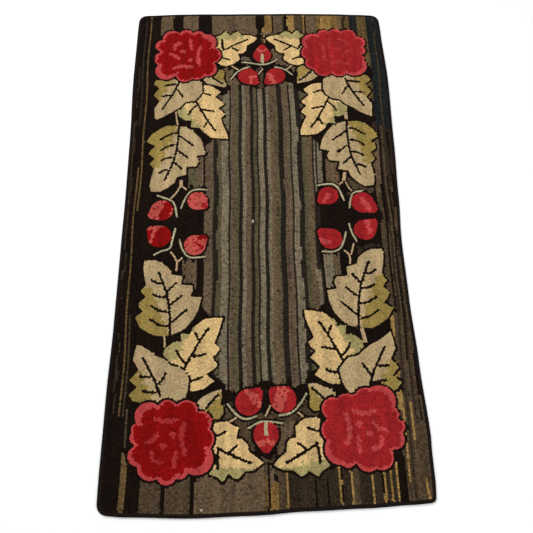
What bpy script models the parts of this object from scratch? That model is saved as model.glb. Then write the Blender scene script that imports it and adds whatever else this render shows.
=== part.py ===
"""A hooked rug: a panel of burlap hooked with wool loops, and a dark tape bound round its edge.

Metres, +Z up. The rug lies flat on z = 0. X runs across it and +Y along its length, and the
origin is the centre of its underside. The rug is hand-made: it is waisted at the sides and
short at one corner, so its outline is a rectangle with an inset that changes along each edge.

Both pieces are lofts of rings. A ring is the outline moved inwards, at one height.
"""

import math

import bmesh
import bpy

# The whole rug, over its binding
HALF_WIDTH = 0.436
HALF_LENGTH = 0.833

# The panel: the pile's top, and the folded burlap rim that the tape is sewn round
PILE_HEIGHT = 0.0090
PILE_SHOULDER = 0.0012
RIM_HEIGHT = 0.0052
RIM_ROUND = 0.0008

# The tape, a C in section: under the rug, round its edge and onto the rim
TAPE_THICKNESS = 0.0012
TAPE_ON_TOP = 0.0105
TAPE_UNDERNEATH = 0.0280
TAPE_TOP_ROUND = 0.0022
TAPE_BOTTOM_ROUND = 0.0010
ROUND_STEPS = 3

GAP = 0.0003

# The outline's steps. A ring's corners never get tighter than the least radius.
EDGE_STEP = 0.040
CORNER_STEPS = 6
LEAST_RADIUS = 0.005

# Each edge's inset from the half sizes above. "at" is the place along X or Y.
NEAR_INSETS = (
    {"at": -0.436, "inset": 0.0110},
    {"at": -0.350, "inset": 0.0050},
    {"at": -0.195, "inset": 0.0000},
    {"at": -0.040, "inset": 0.0036},
    {"at": 0.110, "inset": 0.0118},
    {"at": 0.260, "inset": 0.0162},
    {"at": 0.360, "inset": 0.0218},
    {"at": 0.436, "inset": 0.0262},
)
RIGHT_INSETS = (
    {"at": -0.833, "inset": 0.0062},
    {"at": -0.780, "inset": 0.0040},
    {"at": -0.745, "inset": 0.0008},
    {"at": -0.700, "inset": 0.0026},
    {"at": -0.650, "inset": 0.0000},
    {"at": -0.440, "inset": 0.0089},
    {"at": -0.260, "inset": 0.0159},
    {"at": -0.070, "inset": 0.0185},
    {"at": 0.070, "inset": 0.0125},
    {"at": 0.290, "inset": 0.0071},
    {"at": 0.530, "inset": 0.0028},
    {"at": 0.750, "inset": 0.0100},
    {"at": 0.833, "inset": 0.0135},
)
FAR_INSETS = (
    {"at": -0.436, "inset": 0.0044},
    {"at": -0.250, "inset": 0.0000},
    {"at": -0.100, "inset": 0.0019},
    {"at": 0.110, "inset": 0.0036},
    {"at": 0.255, "inset": 0.0075},
    {"at": 0.360, "inset": 0.0134},
    {"at": 0.436, "inset": 0.0190},
)
LEFT_INSETS = (
    {"at": -0.833, "inset": 0.0010},
    {"at": -0.740, "inset": 0.0000},
    {"at": -0.540, "inset": 0.0012},
    {"at": -0.310, "inset": 0.0065},
    {"at": -0.060, "inset": 0.0083},
    {"at": 0.080, "inset": 0.0098},
    {"at": 0.300, "inset": 0.0091},
    {"at": 0.540, "inset": 0.0042},
    {"at": 0.760, "inset": 0.0062},
    {"at": 0.833, "inset": 0.0085},
)

# The edges anticlockwise. "heading" is the way each runs, and "corner" the radius where it ends.
EDGES = (
    {"insets": NEAR_INSETS, "along_x": True, "side": -1, "heading": 1, "corner": 0.012},
    {"insets": RIGHT_INSETS, "along_x": False, "side": 1, "heading": 1, "corner": 0.024},
    {"insets": FAR_INSETS, "along_x": True, "side": 1, "heading": -1, "corner": 0.026},
    {"insets": LEFT_INSETS, "along_x": False, "side": -1, "heading": -1, "corner": 0.026},
)

TAPE_COLOR = (0.020, 0.014, 0.012, 1.0)
PANEL_COLOR = (0.110, 0.080, 0.058, 1.0)


def eased(rows, place):
    """The inset at a place along an edge, eased from each row of its table to the next."""
    for before, after in zip(rows, rows[1:]):
        if place <= after["at"]:
            share = max(0.0, (place - before["at"]) / (after["at"] - before["at"]))
            blend = share * share * (3 - 2 * share)
            return before["inset"] + (after["inset"] - before["inset"]) * blend
    return rows[-1]["inset"]


def edge_point(edge, place, inwards):
    """The point of an edge at a place along it, moved inwards."""
    inset = eased(edge["insets"], place) + inwards
    if edge["along_x"]:
        return (place, edge["side"] * (HALF_LENGTH - inset))
    return (edge["side"] * (HALF_WIDTH - inset), place)


def sharp_corner(edge, following, inwards):
    """Where an edge and the one after it would cross if the corner were not rounded."""
    across, along = (edge, following) if edge["along_x"] else (following, edge)
    x, y = along["side"] * HALF_WIDTH, across["side"] * HALF_LENGTH
    for _ in range(6):
        y = edge_point(across, x, inwards)[1]
        x = edge_point(along, y, inwards)[0]
    return (x, y)


def rounded_corner(start, corner, end):
    """A quarter of an ellipse from start to end, tangent to the two edges."""
    points = []
    for step in range(CORNER_STEPS + 1):
        angle = math.pi / 2 * step / CORNER_STEPS
        to_start, to_end = 1 - math.sin(angle), 1 - math.cos(angle)
        points.append(
            tuple(
                c + (s - c) * to_start + (e - c) * to_end for c, s, e in zip(corner, start, end)
            )
        )
    return points


def outline(inwards):
    """The rug's outline moved inwards: always the same number of points, in the same order."""
    points = []
    for index, edge in enumerate(EDGES):
        before, after = EDGES[index - 1], EDGES[(index + 1) % len(EDGES)]
        axis = 0 if edge["along_x"] else 1
        start_radius = max(before["corner"] - inwards, LEAST_RADIUS)
        end_radius = max(edge["corner"] - inwards, LEAST_RADIUS)
        corner = sharp_corner(edge, after, inwards)
        first = sharp_corner(before, edge, inwards)[axis] + edge["heading"] * start_radius
        last = corner[axis] - edge["heading"] * end_radius
        length = 2 * (HALF_WIDTH if edge["along_x"] else HALF_LENGTH)
        steps = round(length / EDGE_STEP)
        for step in range(1, steps):
            points.append(edge_point(edge, first + (last - first) * step / steps, inwards))
        turned = corner[1 - axis] + after["heading"] * end_radius
        points += rounded_corner(
            edge_point(edge, last, inwards), corner, edge_point(after, turned, inwards)
        )
    return points


def middle_of_outline():
    """The centre of the outline's box, which becomes the origin."""
    points = outline(0.0)
    return tuple((min(values) + max(values)) / 2 for values in zip(*points))


def quarter_round(centre, radius, first_angle):
    """Points of a section's rounded corner, turning clockwise from first_angle, in degrees."""
    points = []
    for step in range(ROUND_STEPS + 1):
        angle = math.radians(first_angle - 90 * step / ROUND_STEPS)
        points.append((centre[0] + radius * math.cos(angle), centre[1] + radius * math.sin(angle)))
    return points


def panel_section():
    """(inwards, height) from the underside's flat, out round the rim, to the pile's flat top."""
    under = TAPE_THICKNESS + GAP
    rim_top = RIM_HEIGHT
    pile_edge = TAPE_ON_TOP + GAP
    return [
        (TAPE_UNDERNEATH + GAP, 0.0),
        (TAPE_UNDERNEATH + GAP, under),
        (under + RIM_ROUND, under),
        (under, under + RIM_ROUND),
        (under, rim_top - RIM_ROUND),
        (under + RIM_ROUND, rim_top),
        (pile_edge, rim_top),
        (pile_edge, PILE_HEIGHT - PILE_SHOULDER),
        (pile_edge + PILE_SHOULDER, PILE_HEIGHT),
    ]


def tape_section():
    """(inwards, height) round the C of the tape, from its inner edge under the rug."""
    inside_top = RIM_HEIGHT + GAP
    top = inside_top + TAPE_THICKNESS
    bottom_centre = (TAPE_BOTTOM_ROUND, TAPE_BOTTOM_ROUND)
    top_centre = (TAPE_TOP_ROUND, top - TAPE_TOP_ROUND)
    return [
        (TAPE_UNDERNEATH, 0.0),
        *quarter_round(bottom_centre, TAPE_BOTTOM_ROUND, 270),
        *quarter_round(top_centre, TAPE_TOP_ROUND, 180),
        (TAPE_ON_TOP, top),
        (TAPE_ON_TOP, inside_top),
        (TAPE_THICKNESS, inside_top),
        (TAPE_THICKNESS, TAPE_THICKNESS),
        (TAPE_UNDERNEATH, TAPE_THICKNESS),
    ]


def ring_verts(mesh, section, middle):
    """One ring of vertices for each point of a section."""
    rings = []
    for inwards, height in section:
        rings.append(
            [
                mesh.verts.new((x - middle[0], y - middle[1], height))
                for x, y in outline(inwards)
            ]
        )
    return rings


def bridge(mesh, lower, upper):
    """Quads between two rings."""
    for index in range(len(lower)):
        after = (index + 1) % len(lower)
        mesh.faces.new((lower[index], lower[after], upper[after], upper[index]))


def material(name, color, roughness):
    made = bpy.data.materials.new(name)
    made.use_nodes = True
    shader = made.node_tree.nodes["Principled BSDF"]
    shader.inputs["Base Color"].default_value = color
    shader.inputs["Roughness"].default_value = roughness
    shader.inputs["Metallic"].default_value = 0.0
    return made


def finish(mesh, name, finish_material):
    """Turn a bmesh into a named object with its material."""
    bmesh.ops.recalc_face_normals(mesh, faces=mesh.faces[:])
    data = bpy.data.meshes.new(name)
    mesh.to_mesh(data)
    mesh.free()
    data.materials.append(finish_material)
    made = bpy.data.objects.new(name, data)
    bpy.context.scene.collection.objects.link(made)
    return made


def hooked_panel(middle):
    """Burlap with its rim folded over, and the wool pile hooked inside the rim."""
    mesh = bmesh.new()
    rings = ring_verts(mesh, panel_section(), middle)
    for lower, upper in zip(rings, rings[1:]):
        bridge(mesh, lower, upper)
    mesh.faces.new(reversed(rings[0]))
    mesh.faces.new(rings[-1])
    finish(mesh, "hooked_panel", material("wool_pile", PANEL_COLOR, 0.95))


def edge_binding(middle):
    """The tape: a closed C that runs all the way round."""
    mesh = bmesh.new()
    rings = ring_verts(mesh, tape_section(), middle)
    for index in range(len(rings)):
        bridge(mesh, rings[index - 1], rings[index])
    finish(mesh, "edge_binding", material("binding_tape", TAPE_COLOR, 0.9))


def main():
    for old in list(bpy.data.objects):
        bpy.data.objects.remove(old)
    middle = middle_of_outline()
    hooked_panel(middle)
    edge_binding(middle)


main()
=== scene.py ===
"""Looks of a hooked rug: wool pile hooked loop by loop through burlap, with a sewn edge binding.

The design is written in centimetres from its own middle, x across the rug and y along it.
Everything else is in metres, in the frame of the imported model.
"""
import math

import bpy
import numpy as np
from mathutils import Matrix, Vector


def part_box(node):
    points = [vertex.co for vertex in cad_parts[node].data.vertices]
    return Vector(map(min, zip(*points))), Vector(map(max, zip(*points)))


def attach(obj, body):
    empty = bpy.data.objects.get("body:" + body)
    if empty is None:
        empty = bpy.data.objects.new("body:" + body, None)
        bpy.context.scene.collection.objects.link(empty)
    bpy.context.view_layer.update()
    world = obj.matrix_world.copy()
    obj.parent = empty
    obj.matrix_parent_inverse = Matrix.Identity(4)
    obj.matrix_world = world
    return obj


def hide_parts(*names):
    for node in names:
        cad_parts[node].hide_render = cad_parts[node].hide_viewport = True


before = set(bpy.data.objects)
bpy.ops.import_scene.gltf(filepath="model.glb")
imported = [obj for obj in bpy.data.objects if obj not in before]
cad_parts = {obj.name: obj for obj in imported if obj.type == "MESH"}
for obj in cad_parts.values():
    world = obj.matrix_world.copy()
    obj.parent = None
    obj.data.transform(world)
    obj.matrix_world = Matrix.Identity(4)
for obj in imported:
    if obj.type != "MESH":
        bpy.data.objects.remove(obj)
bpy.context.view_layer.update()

# ---- sizes

CM = 0.01
DESIGN_MIDDLE = np.array((-0.002, 0.003))   # the design sits a little off the rug's middle

ROW = 0.53                 # cm between two rows of loops
PITCH = 0.59               # cm between two loops of one row
DARK_PITCH = 0.54          # cm, the same along ribs and outlines
CLEARANCE = 0.41           # cm, the least distance between loops of different rows
SPRIG_PITCH = 0.52         # cm, the same along a sprig
EDGE_PITCH = 0.5           # cm, the same along the rug's edge
FINE = 0.1                 # cm, cell of the map of hooked loops
COARSE = 0.2               # cm, cell of the maps of distances
REACH = 4.0                # cm round a motif where its distance is mapped
PILE_EDGE = 1.32           # cm from the rug's edge to the outermost loops
SHADOW_GAP = 4.6           # cm, ground between two motifs closer than this is dark
DARK_CLEARANCE = 0.54      # cm, the same for the dark rows that draw ribs and outlines
FILL_CLEARANCE = 0.34      # cm, the same for single loops in the gaps that are left, and for sprigs
TOOTH = 0.35               # how much the teeth of a leaf are drawn out
MOTTLED = 0.14             # share of red loops among the coral ones of a bud
RAGGED = 0.12              # cm, how ragged the edge between two wools is
STRIPE_RAGGED = 0.06       # cm, the same along the ground's stripes
STRIPE_ENDS = 0.8          # cm, how unevenly the stripes end

LOOP_LENGTH = 0.0074
LOOP_WIDTH = 0.0072
LOOP_FOOT = 0.0052         # height of a loop's two feet
DARK_WIDE = 1.08           # how much wider the dark loops are
PILE_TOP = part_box("hooked_panel")[1].z
LOOP_UNEVEN = 0.0004
# how far single loops stray: turn in radians, places and lean in metres, sizes as shares
STRAY = {"turn": 0.10, "along": 0.0006, "around": 0.0002, "swell": 0.00025, "height": 0.45 * LOOP_UNEVEN,
         "width": 0.05, "length": 0.04, "lean": 0.00028}
PROUD = 0.0006             # the most that a loop stands above the panel's top
STITCH_LENGTH = 0.0054     # the flat runs of wool on the underside
STITCH_WIDTH = 0.0042
STITCH_BULGE = 0.0010
STITCH_CLEAR = 0.0001      # their lowest point, above the floor

BURLAP_BOTTOM = 0.0010
BURLAP_RIPPLE = 0.00025
BURLAP_FOLD = 0.0016       # height of the fold's underside, inside the binding
BURLAP_TOP = 0.0028        # height of the burlap between the loops

TAPE_FROM_EDGE = 0.0105
TAPE_UNDER = 0.0280
TAPE_STEP = 0.0080
TAPE_WAVE = 0.0004
TAPE_LIFT = 0.00022

THREAD = 0.0004
SEWING_STEP = 0.0105
SEWING_LENGTH = 0.0052

FLOOR_HALF = 6.0
FLOOR_HEIGHT = -0.0003
WORLD_LIGHT = 0.48
LIGHT_AIM = Vector((0, 0, 0))
# name, place, size, power
LIGHTS = [("key", (-1.6, 1.6, 3.0), 2.0, 84), ("fill", (1.8, -1.4, 3.2), 2.6, 48)]

CAMERA_AT = (-0.0034, -0.8271, 1.6450)
CAMERA_DOWN = 67.523
CAMERA_YAW = -1.004
CAMERA_LENS = 40.53

# ---- wools

WOOLS = {
    "deep_red": (0.525, 0.038, 0.038),
    "red": (0.606, 0.127, 0.139),
    "rose": (0.704, 0.255, 0.255),
    "blush": (0.640, 0.185, 0.185),
    "coral": (0.724, 0.314, 0.278),
    "cream": (0.815, 0.691, 0.478),
    "tan": (0.690, 0.599, 0.443),
    "olive": (0.578, 0.495, 0.265),
    "pale_green": (0.629, 0.580, 0.382),
    "sepal": (0.658, 0.627, 0.497),
    "stem": (0.699, 0.591, 0.451),
    "black": (0.083, 0.049, 0.023),
    "soot": (0.145, 0.120, 0.096),
    "navy": (0.113, 0.124, 0.125),
    "dark": (0.196, 0.156, 0.111),
    "dark_brown": (0.298, 0.242, 0.176),
    "brown": (0.379, 0.311, 0.233),
    "mauve": (0.382, 0.317, 0.249),
    "grey": (0.456, 0.411, 0.332),
    "moss": (0.331, 0.300, 0.215),
    "gold": (0.571, 0.452, 0.254),
    "old_gold": (0.472, 0.369, 0.198),
    "gold_brown": (0.375, 0.297, 0.179),
    "dim_tan": (0.248, 0.200, 0.139),
    "thread": (0.742, 0.657, 0.609),
}
ROW_SHADE = 0.05           # how much the wool's shade changes from row to row
GROUND_SHADE = 0.20        # from loop to loop in the ground
MOTIF_SHADE = 0.08         # from loop to loop in a motif
STREAK_SHADE = 0.10        # slowly along the rug
HUE = 0.022
WOOL_NAMES = list(WOOLS)
WOOL_NUMBER = {name: number for number, name in enumerate(WOOL_NAMES)}
BLACK = WOOL_NUMBER["black"]

# ---- the design, in centimetres

# middle, width, height, wool of the bloom, wool of its petal edges, share of the edges' width, wool of
# the strokes inside; the upper left rose is as drawn, the others are mirrored
ROSES = [
    ((-24.9, 64.2), 22.8, 22.9, "deep_red", "rose", 0.85, "rose"),
    ((25.7, 64.8), 22.6, 21.2, "red", "rose", 0.6, "blush"),
    ((-25.1, -64.3), 23, 22, "deep_red", "rose", 0.8, "blush"),
    ((25.8, -62.2), 22.8, 21.9, "red", "rose", 0.6, "rose"),
]
ROSE_SIZE = 22.8           # the width the petals below are drawn for
ROSE_BODY = 9.6            # radius of the rose inside its petals
# direction in degrees, reach from the middle, radius of the petal, width of its paler edge
PETALS = [
    (2, 11.4, 3.5, 0.8), (40, 12.6, 4, 2.6), (68, 11.4, 2.3, 1.5), (97, 11.4, 2.8, 1.4),
    (124, 12.4, 3.4, 1.2), (154, 12.2, 2.8, 1.5), (180, 11.3, 2, 1.3), (201, 11.3, 2, 0.9),
    (226, 13.3, 4.2, 2.6), (264, 11.4, 3, 0.9), (297, 11.7, 3.4, 0.7), (324, 12.4, 3.4, 1.1),
]
# strokes of paler wool inside a rose: from, to, bow to the left, width
ROSE_STROKES = [
    ((-4.6, 3), (-2.3, 5.8), 0.7, 1.2), ((1.2, 6.4), (1.4, 2.6), 0, 1.1),
    ((-2.3, 1.7), (-1.2, 1.7), 0, 1.3), ((4.1, 4), (3.8, -4), -0.5, 1.2),
    ((-6.2, 0.6), (-3.3, -1.5), 0.3, 1.1), ((0.5, -1.9), (1, -1.4), 0, 1.3),
    ((-4, -5), (1.7, -5), 0.3, 1.4),
]

# Leaf outlines: distance along from base to tip as a share of the length, and half width in cm,
# on the outer and the inner side. Ribs are lines of (along, across), across positive to the outer side.
LEAF_KINDS = {
    "heart": {
        "outer": [(-0.16, 2.4), (-0.1, 4.4), (0.02, 6.3), (0.2, 6.7), (0.34, 7.2), (0.4, 5.4),
                  (0.5, 5.6), (0.62, 5.3), (0.7, 3.4), (0.86, 2.3)],
        "inner": [(-0.24, 3.6), (-0.2, 5.3), (-0.1, 6.5), (0.08, 6.9), (0.3, 6.1), (0.35, 3.9),
                  (0.46, 4), (0.58, 3.3), (0.66, 1.7), (0.85, 1)],
        "ribs": [[(0.02, 0), (0.4, 0.6), (0.77, 0.9)], [(0.06, 0.7), (0.1, 2.8), (0.17, 4.8)],
                 [(0.26, 0.4), (0.4, -2.4)], [(-0.08, -2.6), (0.09, -4.9)]],
    },
    "lobed": {
        "outer": [(-0.02, 2.6), (0.06, 5), (0.16, 6.9), (0.29, 7.1), (0.34, 5.1), (0.5, 5.1),
                  (0.59, 2.8), (0.78, 2.5), (0.92, 1.1)],
        "inner": [(-0.21, 3.4), (-0.16, 5.6), (-0.1, 7.2), (0.07, 8.8), (0.2, 8.8), (0.31, 7.9),
                  (0.42, 6), (0.56, 5), (0.68, 3.6), (0.81, 2.3), (0.93, 0.9)],
        "ribs": [[(0.02, 0), (0.22, -0.4), (0.42, -0.4), (0.75, 0)], [(0.09, 0), (0.24, 3.8)],
                 [(0.2, -0.6), (0.33, -4.1)], [(0.38, -0.1), (0.48, 2.9)]],
    },
    "serrate": {
        "outer": [(-0.05, 1.6), (0.02, 4.2), (0.09, 5.7), (0.23, 6.6), (0.28, 4.8), (0.36, 5.2),
                  (0.44, 5.3), (0.48, 3.5), (0.55, 3.7), (0.62, 3.5), (0.65, 1.8), (0.8, 1.3), (0.92, 0.7)],
        "inner": [(-0.03, 0.6), (0.1, 2.4), (0.16, 5.2), (0.21, 8.6), (0.3, 9.4), (0.41, 8.5),
                  (0.47, 6.9), (0.57, 7.7), (0.62, 5.9), (0.7, 5.7), (0.86, 4.4), (0.96, 1.9)],
        "ribs": [[(0.13, -1.7), (0.4, -2.1), (0.6, -2.2), (0.8, -1.9)], [(0.09, 1.2), (0.21, 3.7)],
                 [(0.26, -2.5), (0.29, -4.6), (0.35, -6.5)], [(0.37, -1.6), (0.49, 1.4)],
                 [(0.6, -2.6), (0.66, -4.6)]],
    },
    "broad": {
        "outer": [(0, 0.8), (0.03, 3.2), (0.09, 5), (0.2, 6.7), (0.33, 7.1), (0.37, 4.9),
                  (0.44, 5.4), (0.5, 5.1), (0.54, 3.3), (0.64, 3.4), (0.68, 2), (0.8, 1.5), (0.92, 0.9)],
        "inner": [(-0.02, 2.2), (0.01, 5), (0.08, 8), (0.17, 10.1), (0.3, 11.5), (0.36, 9.7),
                  (0.42, 10.4), (0.5, 10.2), (0.55, 8), (0.65, 8.6), (0.71, 6.4), (0.8, 5.9),
                  (0.9, 4.5), (0.97, 2.9)],
        "ribs": [[(-0.04, 0), (0.14, -1.5), (0.37, -2.8), (0.54, -3.2), (0.8, -2.8)],
                 [(0.12, -1.3), (0.22, -7.2)], [(0.34, -2.9), (0.41, -7.2)], [(0.52, -3.5), (0.59, -6.6)],
                 [(0.09, -0.9), (0.14, 1.6), (0.26, 3.8)], [(0.26, -2), (0.31, 0.4), (0.41, 2.3)],
                 [(0.45, -2.7), (0.48, -0.8), (0.55, 0.8)], [(0.64, -2.8), (0.66, -1.4), (0.73, -0.1)]],
    },
    "small": {
        "outer": [(-0.1, 1.6), (0, 3.1), (0.18, 4.3), (0.4, 4.4), (0.52, 3.6), (0.62, 2.4), (0.8, 1.4)],
        "inner": [(-0.16, 1.4), (-0.05, 2.5), (0.2, 2.8), (0.48, 2.3), (0.75, 1.5), (0.95, 0.7)],
        "ribs": [[(0.05, 0.3), (0.4, 0.1), (0.8, 0.1)]],
    },
}
# kind: wool, wool of the second part, the side it is on, the side of base to tip the outer half is on,
# and where the second part starts across the leaf, how that changes along it, and where it ends along it
LEAF_WOOLS = {
    "heart": ("cream", "pale_green", 1, 1, 4.7, -3.3, 1),
    "lobed": ("tan", "olive", 1, -1, 2.5, 0, 0.6),
    "serrate": ("cream", "pale_green", -1, 1, 5.7, 0, 0.75),
    "broad": ("tan", "olive", 1, -1, 0.3, 0, 0.66),
    "small": ("tan", "olive", 1, 1, 0.5, 0, 0.9),
}
# kind: base and tip of each leaf
LEAVES = {
    "lobed": [
        ((-27, 53.6), (-34.5, 37.3)), ((28.6, 54.1), (36.5, 37.7)),
        ((-28.3, -53.3), (-35.7, -38.3)), ((28.4, -51.5), (35.7, -36)),
    ],
    "heart": [
        ((-13.1, 65.9), (-0.6, 71.5)), ((14.4, 65.9), (1.9, 71.5)),
        ((-13.1, -66.6), (-0.8, -70.6)), ((14.1, -65.6), (1.9, -71.2)),
    ],
    "small": [
        ((-17.3, 55.2), (-11.3, 50.9)), ((18, 56.6), (12.4, 51.8)),
        ((-16.8, -57), (-11.7, -51.3)), ((17.2, -55), (11.6, -50)),
    ],
    "serrate": [
        ((-22, 49.5), (-10.8, 29.8)), ((23.2, 50), (12.8, 30.7)),
        ((-22.7, -50), (-11.8, -30.9)), ((22.3, -48.5), (11.7, -29.3)),
    ],
    "broad": [
        ((-27, 34.8), (-34.7, 10.6)), ((28.6, 35.8), (35.2, 11.7)),
        ((-27, -35.5), (-35, -12.8)), ((27.3, -34.2), (35.7, -10.2)),
    ],
}

# middle, tip, radius, wool, marks of other wools: from, to, width, wool
BUDS = [
    ((-30.8, 4), (-35.4, 1.4), 3.5, "coral", [((-28.9, 5.4), (-30.3, 1.8), 2.9, "deep_red")]),
    ((-20, 7.1), (-16.4, 4.2), 3.1, "coral", [((-17.8, 5.3), (-16.8, 4.6), 1.7, "red")]),
    ((20.7, 8.3), (16.9, 5.4), 3.1, "red", [((19, 6.4), (20.6, 8.6), 1.3, "rose")]),
    ((31.1, 5.7), (36, 1.9), 3.5, "red", [((31.2, 6.6), (33, 3.4), 1.9, "rose")]),
    ((-31.1, -4.8), (-35.2, -1.5), 3.6, "deep_red",
     [((-34.6, -2.2), (-30.6, -1.6), 1, "coral"), ((-32.6, -2.6), (-33.9, -6.6), 0.9, "coral")]),
    ((-20.3, -7.9), (-16.3, -4.7), 3.3, "coral",
     [((-18.6, -5.3), (-17, -4.9), 2, "deep_red"), ((-18.1, -8.8), (-18.9, -7.9), 1.2, "deep_red")]),
    ((20.6, -6.5), (16.3, -2.9), 3.4, "red", [((17.6, -7), (19.5, -7.6), 1.8, "rose")]),
    ((31.1, -3.7), (35.6, 0.1), 3.4, "red", [((31.9, -0.5), (32.6, -4.4), 1.5, "rose")]),
    ((0.9, 63.8), (1, 69.6), 3.1, "red",
     [((-1.6, 66.9), (0.8, 65.4), 1.1, "coral"), ((0.8, 65.4), (3.1, 66.9), 1.1, "coral")]),
    ((-4.1, 54.9), (0.1, 50.9), 3.3, "red",
     [((-3.6, 54.6), (-0.9, 54.8), 0.9, "coral"), ((-2.9, 54), (-2.9, 51.8), 0.9, "coral")]),
    ((5.4, 54.9), (1.1, 50.9), 3.3, "red", [((3.2, 55.2), (5, 51.4), 1.8, "coral")]),
    ((0.1, -63.4), (0, -69), 3.4, "red",
     [((-2.7, -66.2), (0, -64.9), 1.4, "coral"), ((0, -64.9), (2.8, -66.2), 1.4, "coral")]),
    ((-4.5, -54.8), (-0.4, -50.9), 3.6, "red", [((-4.6, -51.6), (-1.8, -55.2), 2.2, "coral")]),
    ((4.9, -54.2), (0.8, -50.9), 3.6, "red", [((4.6, -52), (3.4, -56.2), 3.2, "coral")]),
]

# Single rows hooked over the ground: wool, width in rows, points
SPRIGS = [
    ("sepal", 1, [(-32.7, 9.3), (-28.3, 7.6), (-26.9, 6.3), (-26, 1.5)]),
    ("sepal", 1, [(-25, 4.5), (-23.8, 8.1), (-22.3, 10.6), (-20, 11.4), (-17, 10.9)]),
    ("sepal", 1, [(17.4, 11.9), (20.7, 12.6), (23, 12.2), (24.3, 10.4), (25.5, 6.3)]),
    ("sepal", 1, [(26.9, 3.7), (27.5, 7.5), (28.6, 9.4), (31.6, 9.9)]),
    ("sepal", 1, [(-26.3, -2.1), (-27.1, -5.9), (-27.6, -9.2), (-30.2, -9.6), (-32.5, -11)]),
    ("sepal", 1, [(-25, -5.9), (-24.2, -9.2), (-22.3, -11.9), (-20, -12.1), (-16.9, -11.7)]),
    ("sepal", 1, [(17.7, -10.6), (21, -11), (23.4, -9.8), (24.6, -7.2), (25.3, -4.1)]),
    ("sepal", 1, [(26.4, -1.3), (27, -4.6), (28.4, -7.6)]),
    ("stem", 2, [(-25.3, 14.6), (-25.2, 12.6)]),
    ("stem", 1, [(-25.4, 12.6), (-26.3, 10.4), (-28.3, 7.9)]),
    ("stem", 1, [(-25, 12.4), (-23.3, 11)]),
    ("stem", 2, [(26.3, 16.5), (25.8, 13.4)]),
    ("stem", 1, [(25.5, 13.2), (24.3, 12.3)]),
    ("stem", 1, [(26.4, 13), (27.2, 10.8), (28.1, 9.8)]),
    ("stem", 1, [(-25.6, -16.2), (-25.3, -13.8), (-26.2, -11.6), (-27.6, -9.9)]),
    ("stem", 1, [(-25.1, -13.2), (-23.8, -11.9)]),
    ("stem", 1, [(25.8, -14.9), (26, -12.8), (25.4, -11.2), (24.2, -10.3)]),
    ("stem", 1, [(26.3, -11.8), (27, -9.6), (27.4, -8)]),
    ("stem", 1, [(-27.9, 40.5), (-27.6, 38), (-27.1, 35.2)]),
    ("stem", 2, [(28.2, 39.6), (28.2, 36.8)]),
    ("stem", 1, [(-28.2, -35.9), (-27.9, -37.6), (-28, -39.3)]),
    ("stem", 2, [(27.7, -34.6), (28.5, -38.8)]),
    ("sepal", 1, [(-6.2, 60.9), (-3.9, 60.7), (1.2, 59.5), (3.9, 60.5), (5.9, 61.8)]),
    ("sepal", 2, [(0.9, 60.4), (1, 64.4)]),
    ("sepal", 1, [(-9.8, 53.8), (-7.7, 56.9), (-5.6, 58.3), (-3.3, 58.9)]),
    ("stem", 1, [(-9.5, 59.2), (-7.4, 57.7)]),
    ("sepal", 1, [(5.1, 58.8), (8.4, 57.9), (11.2, 55.1)]),
    ("stem", 1, [(11, 59.2), (9.2, 57.6)]),
    ("stem", 1, [(1.1, 58.1), (-0.4, 55.8)]),
    ("sepal", 1, [(-10.3, -55.1), (-7.9, -58.2), (-5.2, -59.6), (-2.3, -58.5)]),
    ("stem", 1, [(-7.7, -58.9), (-9.8, -60)]),
    ("sepal", 1, [(11.3, -52.6), (9.2, -56.1), (6.6, -58.2), (3.6, -58.5)]),
    ("stem", 1, [(8.7, -57.7), (10.2, -59)]),
    ("stem", 1, [(1.4, -55.8), (0, -58.6)]),
    ("sepal", 1, [(-4.8, -61.8), (-1.4, -59.9), (1.2, -60), (4.9, -60.6)]),
    ("sepal", 2, [(0.1, -60.2), (0.1, -63.6)]),
    ("thread", 1, [(-2.8, -0.8), (-2.8, 0.2)]),
    ("thread", 1, [(-16.9, -81.7), (-16.5, -81.7)]),
]

# Ground wools, painted in order, the later over the earlier; what no row paints is black.
# the middle field, from x, to x, wool
FIELD = [
    (-17.7, -15.1, "mauve"), (-13.7, -12.3, "moss"), (-12.3, -10.2, "grey"), (-9.8, -8.4, "mauve"),
    (-8.4, -7.2, "moss"), (-6.1, -4.9, "grey"), (-4.9, -3.2, "mauve"), (-2.3, -1.4, "moss"),
    (-0.6, 1, "grey"), (1.9, 3.1, "grey"), (3, 5.1, "brown"), (5.1, 5.7, "moss"), (7, 9.5, "mauve"),
    (9.9, 11.7, "grey"), (13.2, 14.8, "moss"), (14.8, 16.2, "brown"),
]
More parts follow.
